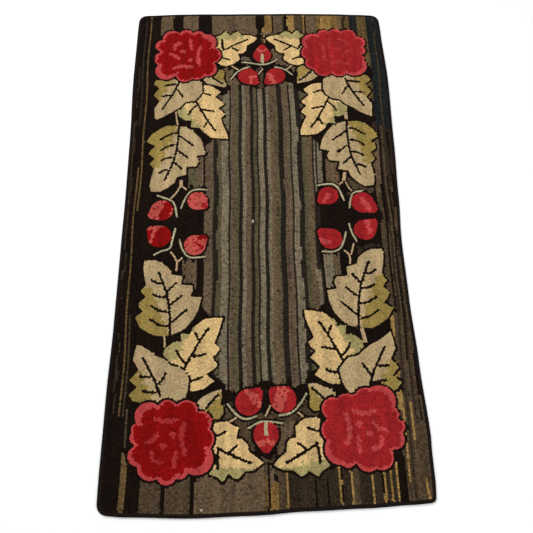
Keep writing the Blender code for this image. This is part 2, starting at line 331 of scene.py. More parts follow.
# under the shade between the motifs: from x, to x, from y, to y, wool
GROUND_UNDER = [
    (-17.7, 17.6, -49, 50, "soot"),
    *((x0, x1, -74, 74, wool) for x0, x1, wool in FIELD),
    # beside the leaves and round the buds
    (16.8, 17.3, 10, 45, "grey"), (18, 19.4, 12, 32, "grey"), (-23.2, -20.2, 12, 24, "moss"),
    (-20.2, -18.4, 12, 26, "mauve"), (20.6, 24.8, 12, 23, "brown"), (-24.2, -20, -22, -13, "brown"),
    (18.2, 21, -24, -11, "grey"), (21, 23.2, -20, -11, "brown"), (16, 17.2, -30, -16, "grey"),
    (27, 35, 8.5, 15, "dark_brown"), (-14, -1, 52, 62, "brown"), (4, 14, 52, 72, "brown"),
    (-14, 14, -74, -52, "dark_brown"),
    # left margin
    (-40, -39.5, 36, 80, "dark"), (-38.3, -37.8, 3, 82, "gold_brown"), (-39.5, -39, -57, 20, "gold_brown"),
    (-38.3, -37.7, -59, -30, "dim_tan"), (-41.2, -40.8, -60, 60, "dark"),
    (-37.4, -36.8, -66, -55, "dark_brown"), (-37.7, -36.3, -83, -68, "gold_brown"),
    # right margin
    (36, 43.5, -90, 35, "dark_brown"), (38.2, 38.8, -90, 30, "dark"), (40.2, 40.7, -90, 20, "dark"),
    (36.4, 43.5, 12, 36, "dark"), (38, 38.6, 0, 36, "black"), (40.9, 41.4, 4, 36, "black"),
    (35.8, 38, 8, 30, "brown"), (39.2, 39.7, 12, 36, "dark_brown"), (38.3, 44, -83, -30, "dark_brown"),
    (40.3, 40.7, -60, -30, "dark"), (38.1, 38.5, -84, -30, "dark"), (37.3, 37.8, -30, 12, "black"),
    (39.4, 39.9, -45, 14, "black"), (41.5, 42, -60, 12, "black"), (38, 43.5, 33, 90, "navy"),
    (34.5, 38, 44, 90, "gold_brown"), (40.3, 40.8, 33, 90, "dim_tan"),
]
# the band at the far end, up to the edge: from x, to x, from y, wool
FAR_BAND = [
    (-34.5, -30.2, 73, "brown"), (-26.6, -21.2, 73, "brown"), (-16.8, -1, 72.5, "brown"),
    (-1, 0.2, 72, "black"), (0.6, 1.1, 68, "dim_tan"), (2, 4.3, 74, "old_gold"), (4.3, 4.9, 73, "black"),
    (4.9, 8.4, 73, "brown"), (8.4, 8.9, 73, "dim_tan"), (10.2, 12.6, 74, "gold"),
    (12.6, 15.5, 73, "dark_brown"), (15.5, 16.4, 73, "gold"), (16.9, 20.6, 72, "brown"),
    (20.6, 22, 73, "old_gold"), (22, 26, 73, "gold"), (26, 28, 73, "old_gold"),
    (28, 29.8, 71, "gold_brown"), (29.8, 30.8, 71, "dark"), (30.8, 32, 70, "gold_brown"),
    (32, 34.6, 69, "navy"),
]
# the band at the near end, from the edge: from x, to x, to y, wool
NEAR_BAND = [
    (-32.6, -27, -71, "dark_brown"), (-26.4, -19.9, -71, "dark_brown"), (-18.5, -0.8, -71, "brown"),
    (-0.8, 0.3, -74, "gold_brown"), (0.3, 0.9, -70, "black"), (0.9, 2.9, -76, "old_gold"),
    (2.9, 5, -72, "dark_brown"), (5, 5.6, -73, "gold"), (5.6, 18.9, -72, "dark"), (12.5, 13, -75, "black"),
    (15.6, 16.1, -75, "black"), (19.1, 19.6, -72, "gold"), (19.9, 21.9, -72, "dark"),
    (21.9, 22.5, -72, "gold"), (22.5, 24, -72, "dark_brown"), (24, 27.3, -72, "dark"),
    (27.3, 27.9, -73, "gold"), (27.9, 30.2, -72, "dark"), (30.3, 30.8, -72, "gold"),
    (31, 32.1, -72, "dark"), (32.1, 32.7, -71, "gold"), (32.7, 33.7, -71, "dark"),
    (33.7, 34.3, -70, "gold"), (34.3, 36.2, -69, "black"),
]
# over the shade between the motifs: from x, to x, from y, to y, wool
GROUND_OVER = [
    *((x0, x1, y, 90, wool) for x0, x1, y, wool in FAR_BAND),
    (1.1, 2, 69, 76, "gold"), (3.9, 8.6, 60.8, 66.5, "brown"), (-13, -9.6, 53.5, 58.6, "brown"),
    (6.6, 13, 58.9, 62, "brown"), (11.2, 13.5, 56.5, 60, "brown"), (-0.9, 1.2, 50, 57, "dark_brown"),
    (27.2, 35.5, 9.6, 15, "dark_brown"), (28.5, 35.8, -12.5, -8.6, "dark"),
    (-14, 14, -62, -55, "dark_brown"), (-1.2, 1.8, -58, -50, "black"),
    (-9.2, -3, -72.5, -60.4, "dark_brown"), (3, 9, -71, -60.9, "brown"),
    (-2.2, 2.4, -74, -69.6, "dark_brown"),
    *((x0, x1, -90, y, wool) for x0, x1, y, wool in NEAR_BAND),
    (0.9, 2, -76, -70, "brown"), (36.8, 37.4, -77, -48, "gold"), (36, 37.2, -58, -45, "gold"),
    (39, 39.5, -67, -57, "gold"), (41.4, 41.9, -80, -75, "gold"), (36, 37, -40, -31, "gold"),
]

rng = np.random.default_rng(34)

# ---- lines and distances


def quarter_of(place):
    """Which way a motif is mirrored across and along the rug, by the quarter that it stands in."""
    return (1 if place[0] < 0 else -1), (1 if place[1] > 0 else -1)


def cut_corners(points, rounds, closed):
    """The line through the points with its corners cut, as many rounds as asked."""
    line = np.asarray(points, float)
    for _ in range(rounds):
        before, after = (line, np.roll(line, -1, 0)) if closed else (line[:-1], line[1:])
        cut = np.stack((0.75 * before + 0.25 * after, 0.25 * before + 0.75 * after), 1).reshape(-1, 2)
        line = cut if closed else np.vstack((line[:1], cut, line[-1:]))
    return line


def spaced(line, step, closed, shift=0.0):
    """Points at even steps along a line, and the direction of the line at each."""
    if closed:
        line = np.vstack((line, line[:1]))
    runs = np.hypot(*np.diff(line, axis=0).T)
    along = np.concatenate(((0.0,), np.cumsum(runs)))
    number = max(int(round(along[-1] / step)), 1)
    at = (np.arange(number) + (shift if closed else 0.5)) * along[-1] / number
    place = np.stack([np.interp(at, along, line[:, k]) for k in (0, 1)], 1)
    part = np.clip(np.searchsorted(along, at, side="right") - 1, 0, len(runs) - 1)
    way = line[part + 1] - line[part]
    return place, np.arctan2(way[:, 1], way[:, 0])


def beside(line, distance):
    """The open line moved sideways."""
    way = np.gradient(line, axis=0)
    way /= np.maximum(np.hypot(*way.T), 1e-9)[:, None]
    return line + distance * np.stack((-way[:, 1], way[:, 0]), 1)


def distance_to_line(points, line):
    """Distance from each point to an open line."""
    best = np.full(len(points), 1e12)
    for start, end in zip(line[:-1], line[1:]):
        way = end - start
        share = np.clip((points - start) @ way / max(way @ way, 1e-12), 0, 1)
        gap = points - start - share[:, None] * way
        best = np.minimum(best, gap[:, 0] ** 2 + gap[:, 1] ** 2)
    return np.sqrt(best)


def depth_in_ring(points, ring):
    """Signed distance from each point to a closed ring, negative inside it."""
    closed = np.vstack((ring, ring[:1]))
    inside = np.zeros(len(points), bool)
    for (x0, y0), (x1, y1) in zip(closed[:-1], closed[1:]):
        if y0 == y1:
            continue
        crosses = (points[:, 1] > min(y0, y1)) & (points[:, 1] <= max(y0, y1))
        inside ^= crosses & (points[:, 0] < x0 + (points[:, 1] - y0) * (x1 - x0) / (y1 - y0))
    distance = distance_to_line(points, closed)
    return np.where(inside, -distance, distance)


def level_lines(field, corner, level):
    """The closed and open lines where a map of distances has one value, in design centimetres."""
    map_ = field - level
    map_[map_ == 0] = 1e-9
    positive = map_ > 0
    mixed = positive[:-1, :-1].astype(int) + positive[1:, :-1] + positive[:-1, 1:] + positive[1:, 1:]
    links = {}
    for j, i in np.argwhere((mixed > 0) & (mixed < 4)):
        sides = (("h", j, i, j, i + 1), ("v", j, i + 1, j + 1, i + 1),
                 ("h", j + 1, i, j + 1, i + 1), ("v", j, i, j + 1, i))
        cut = [side for side in sides if positive[side[1], side[2]] != positive[side[3], side[4]]]
        for one, other in zip(cut[::2], cut[1::2]):
            links.setdefault(one, []).append(other)
            links.setdefault(other, []).append(one)

    def place(side):
        _, j0, i0, j1, i1 = side
        share = map_[j0, i0] / (map_[j0, i0] - map_[j1, i1])
        return corner + COARSE * np.array((i0 + share * (i1 - i0), j0 + share * (j1 - j0)))

    lines = []
    while links:
        start = next((side for side, near in links.items() if len(near) == 1), next(iter(links)))
        chain, here = [start], start
        while True:
            near = links.get(here, [])
            if not near:
                break
            there = near.pop()
            links[there].remove(here)
            for side in (here, there):
                if not links[side]:
                    del links[side]
            chain.append(there)
            here = there
        closed = chain[0] == chain[-1] and len(chain) > 2
        lines.append((np.array([place(side) for side in chain[:-1 if closed else None]]), closed))
    return lines


# ---- motifs


class Rose:
    """A scalloped rose: a round body and overlapping petals with paler edges."""

    piece = "pile_blooms"
    ribs = ()

    def __init__(self, middle, width, height, wool, edge_wool, rim, stroke_wool):
        across, along = quarter_of(middle)
        self.middle = np.array(middle)
        self.scale = np.array((across * width, along * height)) / ROSE_SIZE
        self.wools = [WOOL_NUMBER[name] for name in (wool, edge_wool, stroke_wool)]
        self.petals = []
        for turned, reach, radius, edge in PETALS:
            angle = math.radians(turned + rng.normal(0, 3.5))
            out = reach - radius + rng.normal(0, 0.3)
            size = radius * rng.uniform(0.86, 1.06)
            self.petals.append((out * math.cos(angle), out * math.sin(angle), size, edge * rim))
        self.strokes = []
        for start, end, bow, width_ in ROSE_STROKES:
            start, end = np.array(start), np.array(end)
            across = np.array((start[1] - end[1], end[0] - start[0])) / max(np.hypot(*(end - start)), 1e-6)
            line = cut_corners((start, (start + end) / 2 + bow * 2 * across, end), 2, False)
            self.strokes.append((line + rng.normal(0, 0.25, 2), width_))
        self.rays = np.radians(np.arange(0.0, 360.0, 3.0))
        centres = np.array([petal[:2] for petal in self.petals])
        radii, edges = np.array([petal[2:] for petal in self.petals]).T
        ahead = np.outer(np.cos(self.rays), centres[:, 0]) + np.outer(np.sin(self.rays), centres[:, 1])
        aside = (centres ** 2).sum(1) - ahead ** 2
        reach = np.where(aside < radii ** 2, ahead + np.sqrt(np.maximum(radii ** 2 - aside, 0)), 0)
        self.outline = np.maximum(reach.max(1), ROSE_BODY)
        blend = np.exp(4 * (reach - reach.max(1, keepdims=True)))
        self.rim = (blend * edges).sum(1) / blend.sum(1)
        self.low, self.high = self.middle - width * 0.62, self.middle + width * 0.62

    def depth(self, points):
        x, y = ((points - self.middle) / self.scale).T
        circles = [(0.0, 0.0, ROSE_BODY)] + [petal[:3] for petal in self.petals]
        return np.min([np.hypot(x - cx, y - cy) - radius for cx, cy, radius in circles], axis=0)

    def wool(self, points):
        local = (points - self.middle) / self.scale + rng.normal(0, RAGGED, points.shape)
        ray = np.arctan2(local[:, 1], local[:, 0])
        outline = np.interp(ray, self.rays, self.outline, period=2 * math.pi)
        rim = outline - np.hypot(*local.T) < np.interp(ray, self.rays, self.rim, period=2 * math.pi)
        stroke = np.zeros(len(points), bool)
        for line, width in self.strokes:
            stroke |= distance_to_line(local, line) < width / 2
        return np.where(rim, self.wools[1], np.where(stroke, self.wools[2], self.wools[0]))


class Leaf:
    """A leaf from base to tip, with lobes on each side, dark ribs and a second wool along one side."""

    def __init__(self, kind, base, tip):
        self.shape = LEAF_KINDS[kind]
        wool, edge_wool, self.edge_side, hand, *self.edge = LEAF_WOOLS[kind]
        self.wools = WOOL_NUMBER[wool], WOOL_NUMBER[edge_wool]
        self.piece = "pile_far_leaves" if base[1] > 0 else "pile_near_leaves"
        self.base = np.array(base)
        way = np.array(tip) - self.base
        self.length = np.hypot(*way)
        self.way = way / self.length
        self.side = hand * math.prod(quarter_of(base)) * np.array((-self.way[1], self.way[0]))
        outer, inner = self.toothed("outer"), self.toothed("inner")
        ring = np.vstack((outer, ((1.0, 0.0),), inner[::-1] * (1, -1)))
        ring += rng.normal(0, 0.12, ring.shape) * (1 / self.length, 1)
        self.ring = self.to_design(ring)
        self.ribs = [cut_corners(self.to_design(np.array(rib)), 2, False) for rib in self.shape["ribs"]]
        self.low, self.high = self.ring.min(0), self.ring.max(0)

    def toothed(self, side):
        """One side of the outline, its lobes drawn out and its notches in, as the rows blunt both."""
        points = np.array(self.shape[side])
        width = points[:, 1]
        points[1:-1, 1] += TOOTH * (width[1:-1] - (width[:-2] + width[2:]) / 2)
        return points

    def to_design(self, places):
        return self.base + places[:, :1] * self.length * self.way + places[:, 1:] * self.side

    def depth(self, points):
        return depth_in_ring(points, self.ring)

    def wool(self, points):
        along = (points - self.base) @ self.way / self.length
        across = (points - self.base) @ self.side * self.edge_side
        ragged = 0.45 * np.sin(points[:, 0] * 2.3 + points[:, 1]) + 0.35 * np.sin(points[:, 1] * 3.1)
        start, slope, end = self.edge
        edge = (across + ragged > start + slope * along) & (along + 0.03 * ragged < end)
        return np.where(edge, self.wools[1], self.wools[0])


class Bud:
    """A round bud drawn out to a point, with marks of other wools."""

    piece = "pile_blooms"
    ribs = ()

    def __init__(self, middle, tip, radius, wool, marks):
        middle, tip = np.array(middle), np.array(tip)
        way = tip - middle
        towards = math.atan2(way[1], way[0])
        open_half = math.acos(min(radius / np.hypot(*way), 0.98))
        turned = towards + np.linspace(open_half, 2 * math.pi - open_half, 22)
        ring = middle + radius * np.stack((np.cos(turned), np.sin(turned)), 1)
        self.ring = cut_corners(np.vstack((ring, tip)), 1, True)
        self.base_wool = WOOL_NUMBER[wool]
        self.marks = marks
        self.low, self.high = self.ring.min(0), self.ring.max(0)

    def depth(self, points):
        return depth_in_ring(points, self.ring)

    def wool(self, points):
        wools = np.full(len(points), self.base_wool)
        for start, end, width, wool in self.marks:
            ragged = points + rng.normal(0, RAGGED, points.shape)
            near = distance_to_line(ragged, np.array((start, end), float)) < width / 2
            wools[near] = WOOL_NUMBER[wool]
        mottled = (wools == WOOL_NUMBER["coral"]) & (rng.random(len(points)) < MOTTLED)
        wools[mottled] = WOOL_NUMBER["red"]
        return wools


# ---- the rug's own edge

binding_corners = np.array([v.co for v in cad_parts["edge_binding"].data.vertices])


def corners_between(low, high):
    """The binding's corners between two heights, seen from above, each one once."""
    at = binding_corners[(binding_corners[:, 2] > low) & (binding_corners[:, 2] < high)][:, :2]
    return np.unique(np.round(at, 5), axis=0)


def in_order(ring):
    """A ring's corners in order round the rug."""
    return ring[np.argsort(np.arctan2(ring[:, 1], ring[:, 0]))]


EDGE = in_order(corners_between(0.0040, 0.0050))
underneath = corners_between(-0.0001, 0.0001)
far_in = distance_to_line(underneath, np.vstack((EDGE, EDGE[:1]))) > TAPE_UNDER / 2
INNER = in_order(underneath[far_in])


def even_edge(step):
    """The rug's edge and the binding's inner edge below it, at even steps round the rug."""
    closed = np.vstack((EDGE, EDGE[:1]))
    closed_inner = np.vstack((INNER, INNER[:1]))
    along = np.concatenate(((0.0,), np.cumsum(np.hypot(*np.diff(closed, axis=0).T))))
    number = int(along[-1] / step)
    at = np.arange(number) * along[-1] / number
    return [np.stack([np.interp(at, along, axis) for axis in line.T], 1) for line in (closed, closed_inner)]


def slow_noise(points, size, seed):
    """Smooth noise from -1 to 1 or so over places in one unit, with features of a given size."""
    draw = np.random.default_rng(seed)
    total = np.zeros(len(points))
    for _ in range(7):
        way = draw.normal(0, 1, 2) * 2 * math.pi / size / 1.6
        total += np.sin(points @ way + draw.uniform(0, 2 * math.pi))
    return total / 2.6


# ---- hooking the loops

RUG_RING = (EDGE - DESIGN_MIDDLE) / CM


class Hooking:
    """Every loop's place, direction, wool, shade and piece, and maps of what is taken."""

    def __init__(self):
        self.low = np.floor(RUG_RING.min(0)) - REACH
        size = RUG_RING.max(0) + REACH - self.low
        self.owner = np.full((int(size[1] / FINE), int(size[0] / FINE)), -1, np.int32)
        shape = int(size[1] / COARSE), int(size[0] / COARSE)
        self.covered = np.zeros(shape, bool)
        self.nearest = np.full(shape, 99.0)
        self.second = np.full(shape, 99.0)
        self.discs = {}
        for clearance in (CLEARANCE, DARK_CLEARANCE, FILL_CLEARANCE):
            span = int(clearance / FINE) + 1
            dy, dx = np.mgrid[-span:span + 1, -span:span + 1]
            near = np.hypot(dx, dy) * FINE < clearance
            self.discs[clearance] = dy[near], dx[near]
        self.loops = []

    def cell(self, points, size):
        spot = ((points - self.low) / size).astype(int)
        return spot[:, 1], spot[:, 0]

    def open_to(self, points):
        """Where points are inside the pile's edge and not on a motif hooked before."""
        inside = depth_in_ring(points, RUG_RING) < -PILE_EDGE + 0.02
        return inside & ~self.covered[self.cell(points, COARSE)]

    def hook(self, points, angles, wools, piece, clearance=CLEARANCE):
        """Hooks one row of loops, leaving out those too close to loops already there."""
        if not len(points):
            return
        down, right = self.discs[min(clearance, CLEARANCE)]
        shade = rng.normal(0, ROW_SHADE)
        wools = np.broadcast_to(wools, len(points))
        rows, columns = self.cell(points, FINE)
        hooked = []
        for k in np.flatnonzero(self.open_to(points)):
            if self.owner[rows[k], columns[k]] < 0:
                self.owner[rows[k] + down, columns[k] + right] = len(self.loops)
                hooked.append((k, len(self.loops)))
                self.loops.append((points[k, 0], points[k, 1], angles[k], wools[k], shade, piece))
        down, right = self.discs[max(clearance, CLEARANCE)]
        for k, number in hooked:
            round_it = rows[k] + down, columns[k] + right
            self.owner[round_it] = np.where(self.owner[round_it] < 0, number, self.owner[round_it])

    def fill(self, points, wool_of, piece):
        """Hooks loops into the gaps left between rows, turned like the loops beside them."""
        points = points[self.open_to(points)]
        rows, columns = self.cell(points, FINE)
        down, right = self.discs[FILL_CLEARANCE]
        reach = int(1.4 * CLEARANCE / FINE)
        for k in np.flatnonzero(self.owner[rows, columns] < 0):
            j, i = rows[k], columns[k]
            if self.owner[j, i] >= 0:
                continue
            beside_it = self.owner[j - reach:j + reach + 1, i - reach:i + reach + 1]
            known = beside_it[beside_it >= 0]
            angle, shade = math.pi / 2, 0.0
            if len(known):
                _, _, angle, _, shade, _ = self.loops[known[0]]
            wool = int(wool_of(points[k:k + 1])[0])
            self.owner[j + down, i + right] = len(self.loops)
            self.loops.append((points[k, 0], points[k, 1], angle, wool, shade, piece))

    def motif(self, motif):
        """Hooks a motif: its ribs, its rows from the outline inwards, and a dark row round it."""
        first = ((motif.low - REACH - self.low) / COARSE).astype(int)
        last = ((motif.high + REACH - self.low) / COARSE).astype(int)
        first = np.maximum(first, 0)
        last = np.minimum(last, np.array(self.covered.shape[::-1]))
        here = np.s_[first[1]:last[1], first[0]:last[0]]
        corner = self.low + (first + 0.5) * COARSE
        j, i = np.mgrid[0:last[1] - first[1], 0:last[0] - first[0]]
        cells = corner + COARSE * np.stack((i.ravel(), j.ravel()), 1)
        depths = motif.depth(cells).reshape(j.shape)

        for rib in motif.ribs:
            points, angles = spaced(rib, DARK_PITCH, False)
            self.hook(points, angles, BLACK, motif.piece, DARK_CLEARANCE)
        level = -ROW / 2
        while depths.min() < level:
            for line, closed in level_lines(depths, corner, level):
                points, angles = spaced(line, PITCH, closed, rng.uniform(0, 1))
                self.hook(points, angles, motif.wool(points), motif.piece)
            level -= ROW
        inside = cells[(depths < -0.12).ravel()]
        self.fill(np.vstack((inside, inside + FINE)), motif.wool, motif.piece)
        for line, closed in level_lines(depths, corner, ROW / 2):
            points, angles = spaced(line, DARK_PITCH, closed, rng.uniform(0, 1))
            self.hook(points, angles, BLACK, None, DARK_CLEARANCE)
        self.covered[here] |= depths < 0.4 * ROW
        self.second[here] = np.minimum(self.second[here], np.maximum(self.nearest[here], depths))
        self.nearest[here] = np.minimum(self.nearest[here], depths)


hooking = Hooking()

for wool, rows, points in SPRIGS:
    line = cut_corners(points, 2, False)
    for offset in np.arange(rows) - (rows - 1) / 2:
        places, angles = spaced(beside(line, offset * ROW), SPRIG_PITCH, False)
        hooking.hook(places, angles, WOOL_NUMBER[wool], "pile_blooms", FILL_CLEARANCE)

for rose in ROSES:
    hooking.motif(Rose(*rose))
for kind, ends in LEAVES.items():
    for base, tip in ends:
        hooking.motif(Leaf(kind, base, tip))
for bud in BUDS:
    hooking.motif(Bud(*bud))

for wool, rows, points in SPRIGS:
    line = cut_corners(points, 2, False)
    if wool == "thread":
        continue
    for offset in (-(rows + 1) / 2, (rows + 1) / 2):
        places, angles = spaced(beside(line, offset * ROW), PITCH, False)
        hooking.hook(places, angles, BLACK, None)


def ground_wool(points):
    """The wool of the ground: stripes along the rug, dark between motifs, banded at the ends."""
    wools = np.full(len(points), BLACK)
    x = points[:, 0] + STRIPE_RAGGED * slow_noise(points * (1.0, 0.2), 2.4, 8)
    y = points[:, 1] + STRIPE_ENDS * slow_noise(points * (1.0, 0.0), 1.1, 9)

    def paint(table):
        for x0, x1, y0, y1, wool in table:
            middle, half = (x0 + x1) / 2, max(x1 - x0, ROW) / 2
            wools[(abs(x - middle) <= half) & (y >= y0) & (y < y1)] = WOOL_NUMBER[wool]

    paint(GROUND_UNDER)
    spot = hooking.cell(points, COARSE)
    wools[hooking.nearest[spot] + hooking.second[spot] < SHADOW_GAP] = BLACK
    paint(GROUND_OVER)
    return wools


def wander(points):
    """How far the lengthwise rows stray sideways."""
    x, y = points[:, 0], points[:, 1]
    return 0.16 * np.sin(0.21 * y + 0.05 * x) + 0.13 * np.sin(0.083 * y - 0.11 * x + 1.0)


edge_row, edge_angles = spaced(RUG_RING, EDGE_PITCH, True)
inwards = np.stack((-np.sin(edge_angles), np.cos(edge_angles)), 1)
edge_row = edge_row + (PILE_EDGE + 0.01) * inwards
hooking.hook(edge_row, edge_angles, ground_wool(edge_row), None)

for x in np.arange(RUG_RING[:, 0].min(), RUG_RING[:, 0].max(), ROW):
    y = np.arange(RUG_RING[:, 1].min() + rng.uniform(0, PITCH), RUG_RING[:, 1].max(), PITCH)
    straight = np.stack((np.full(len(y), x), y), 1)
    strayed = straight + np.stack((wander(straight), np.zeros(len(y))), 1)
    angles = np.full(len(y), math.pi / 2)
    hooking.hook(strayed, angles, ground_wool(straight), None)

low, high = RUG_RING.min(0), RUG_RING.max(0)
lattice = np.stack(np.meshgrid(np.arange(low[0], high[0], COARSE), np.arange(low[1], high[1], COARSE)), -1)


def ground_wool_here(points):
    """The wool of the ground under a place, with the rows' straying taken back."""
    return ground_wool(points - np.stack((wander(points), np.zeros(len(points))), 1))


hooking.fill(lattice.reshape(-1, 2), ground_wool_here, None)

# ---- meshes

CELL_MARGIN = 0.06         # of a loop's cell on the map, left free all round


def linear(colour):
    """A colour as the renderer counts it, from one as a screen shows it."""
    colour = np.asarray(colour, float)
    return np.where(colour < 0.04045, colour / 12.92, ((colour + 0.055) / 1.055) ** 2.4)


def make_piece(name, corners, faces, material, node, colours=None, chart=None):
    """A mesh object from arrays, riding on the rug and standing for one of its nodes."""
    mesh = bpy.data.meshes.new(name)
    faces = np.asarray(faces, np.int32)
    mesh.vertices.add(len(corners))
    mesh.vertices.foreach_set("co", np.asarray(corners, np.float32).ravel())
    mesh.loops.add(faces.size)
    mesh.loops.foreach_set("vertex_index", faces.ravel())
    mesh.polygons.add(len(faces))
    mesh.polygons.foreach_set("loop_start", np.arange(len(faces), dtype=np.int32) * faces.shape[1])
    mesh.update(calc_edges=True)
    mesh.polygons.foreach_set("use_smooth", np.ones(len(faces), bool))
    if colours is not None:
        opaque = np.hstack((colours, np.ones((len(colours), 1)))).astype(np.float32)
        # the loops' wool colours with painted shade multiplied in
        mesh.color_attributes.new("wool_with_painted_shade", "FLOAT_COLOR", "POINT").data.foreach_set("color", opaque.ravel())
    if chart is not None:
        places = chart[faces.ravel()].astype(np.float32)
        mesh.uv_layers.new(name="OFBake").data.foreach_set("uv", places.ravel())
    mesh.validate()
    mesh.materials.append(material)
    piece = bpy.data.objects.new(name, mesh)
    bpy.context.scene.collection.objects.link(piece)
    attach(piece, "root")
    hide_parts(node)
    return piece


def with_painted_shade(colours, painted_shades):
    """The colour of each corner of each small part, darkened or lightened by painted shade."""
    return np.clip(colours[:, None, :] * np.reshape(painted_shades, (1, -1, 1)), 0.002, 0.95).reshape(-1, 3)


def in_cells(template, count):
    """A place on a square map for each copy of a template, side by side in a grid of cells."""
    template = CELL_MARGIN + (1 - 2 * CELL_MARGIN) * template
    side = math.ceil(math.sqrt(count))
    number = np.arange(count)
    cells = np.stack((number % side, number // side), 1)
    return ((cells[:, None, :] + template[None]) / side).reshape(-1, 2)


def turned_about(centre, angle, x, y, z):
    """Corners of many small parts, each turned by its angle about its own place."""
    cos, sin = np.cos(angle)[:, None], np.sin(angle)[:, None]
    return np.stack((centre[:, :1] + x * cos - y * sin, centre[:, 1:] + x * sin + y * cos, z), 2)


def repeated(faces, count, corners):
    """The faces of one small part, for a number of copies with so many corners each."""
    faces = np.asarray(faces)
    return (faces[None] + corners * np.arange(count)[:, None, None]).reshape(-1, faces.shape[1])


# ---- materials


def node(tree, kind, inputs, **settings):
    """A node with its settings, and its inputs set or linked."""
    made = tree.nodes.new(kind)
    for name, value in settings.items():
        setattr(made, name, value)
    for name, value in inputs.items():
        if isinstance(value, bpy.types.NodeSocket):
            tree.links.new(value, made.inputs[name])
        else:
            made.inputs[name].default_value = value
    return made


def new_material(name, roughness):
    """A matt material with a trace of sheen, and its node tree and shader."""
    material = bpy.data.materials.new(name)
    material.use_nodes = True
    tree = material.node_tree
    surface = tree.nodes["Principled BSDF"]
    surface.inputs["Roughness"].default_value = roughness
    surface.inputs["Specular IOR Level"].default_value = 0.06
    surface.inputs["Sheen Weight"].default_value = 0.01
    surface.inputs["Sheen Roughness"].default_value = 0.45
    return material, tree, surface


def scaled(tree, colour, factor):
    """A colour made lighter or darker by a factor that changes over the surface."""
    return node(tree, "ShaderNodeVectorMath", {0: colour, 1: factor}, operation="MULTIPLY").outputs[0]


def spread(tree, value, low, high):
    """A value from 0 to 1 spread between two others."""
    return node(tree, "ShaderNodeMapRange", {"Value": value, "To Min": low, "To Max": high}).outputs[0]


def noise(tree, place, scale, detail):
    """Noise from 0 to 1 over the object's own coordinates."""
    inputs = {"Vector": place, "Scale": scale, "Detail": detail}
    return node(tree, "ShaderNodeTexNoise", inputs).outputs["Fac"]


def wool_material(name, fibre, heather):
    """Hooked wool strips: loop colours with their painted shade, flecks and slow fading, fuzzy and matt."""
    material, tree, surface = new_material(name, 0.92)
    place = node(tree, "ShaderNodeTexCoord", {}).outputs["Object"]
    wool = node(tree, "ShaderNodeVertexColor", {}, layer_name="wool_with_painted_shade").outputs["Color"]
    flecks = noise(tree, place, 1300.0, 2.0)
    fading = noise(tree, place, 9.0, 3.0)
    colour = scaled(tree, wool, spread(tree, flecks, 1.0 - heather, 1.0 + heather))
    colour = scaled(tree, colour, spread(tree, fading, 0.90, 1.10))
    tree.links.new(colour, surface.inputs["Base Color"])
    tree.links.new(spread(tree, flecks, 0.82, 1.0), surface.inputs["Roughness"])
    fuzz = noise(tree, place, fibre, 4.0)
    bump = node(tree, "ShaderNodeBump", {"Strength": 0.5, "Distance": 0.0006, "Height": fuzz})
    tree.links.new(bump.outputs["Normal"], surface.inputs["Normal"])
    return material


def woven_material(name, light, dark, thread, fuzz, turned):
    """A plain or twilled weave of two crossing sets of threads, each thread of that many metres."""
    material, tree, surface = new_material(name, 0.95)
    place = node(tree, "ShaderNodeTexCoord", {}).outputs["Object"]
    place = node(tree, "ShaderNodeMapping", {"Vector": place, "Rotation": (0.0, 0.0, turned)}).outputs[0]
    scale = math.pi / 10 / thread
    bands = [
        node(tree, "ShaderNodeTexWave", {"Vector": place, "Scale": scale, "Distortion": fuzz, "Detail": 2.0,
                                         "Detail Scale": 3.0}, bands_direction=way).outputs["Fac"]
        for way in ("X", "Y")
    ]
    weave = node(tree, "ShaderNodeMath", {0: bands[0], 1: bands[1]}, operation="MAXIMUM").outputs[0]
    patches = noise(tree, place, 60.0, 3.0)
    mixed = node(tree, "ShaderNodeMix", {"Factor": weave}, data_type="RGBA")
    mixed.inputs["A"].default_value = (*linear(dark), 1.0)
    mixed.inputs["B"].default_value = (*linear(light), 1.0)
    colour = scaled(tree, mixed.outputs["Result"], spread(tree, patches, 0.75, 1.25))
    tree.links.new(colour, surface.inputs["Base Color"])
    tree.links.new(spread(tree, patches, 0.85, 1.0), surface.inputs["Roughness"])
    bump = node(tree, "ShaderNodeBump", {"Strength": 0.6, "Distance": 0.0004, "Height": weave})
    tree.links.new(bump.outputs["Normal"], surface.inputs["Normal"])
    return material


# ---- the pile

# One loop along the row: share of its half length, share of its height. Each station has three corners.
LOOP_STATIONS = [(-1.0, 0.0), (-0.80, 0.66), (0.0, 1.0), (0.80, 0.66), (1.0, 0.0)]
LOOP_TAPER = (0.80, 1.0, 1.0, 1.0, 0.80)
# painted shade along each loop: darker feet, a slight painted highlight on the crest
LOOP_PAINTED_SHADE = (0.62, 0.90, 1.03, 0.90, 0.62)
LOOP_CROWN = (0.45, 1.0, 0.45)
# painted shade across each loop: darker sides, a slight painted highlight along the middle
SIDE_PAINTED_SHADE = (0.76, 1.05, 0.76)

loops = np.array([loop[:5] for loop in hooking.loops])
wools = loops[:, 3].astype(int)
GROUND_CUTS = (-15.2, 0.5, 15.6)
GROUND_PIECES = ("pile_left_border", "pile_field_left", "pile_field_right", "pile_right_border")
pieces = np.array([
    loop[5] or GROUND_PIECES[int(np.searchsorted(GROUND_CUTS, loop[0]))] for loop in hooking.loops
])

palette = linear([WOOLS[name] for name in WOOL_NAMES])
hue = rng.normal(0, HUE, (len(loops), 3))
streak = slow_noise(loops[:, :2] * (3.0, 0.35), 9.0, 5)
in_ground = np.array([loop[5] is None for loop in hooking.loops])
mottle = np.where(in_ground, GROUND_SHADE, MOTIF_SHADE)
value = 1 + loops[:, 4] + rng.normal(0, 1, len(loops)) * mottle + STREAK_SHADE * streak
loop_colours = palette[wools] * (value[:, None] + hue)


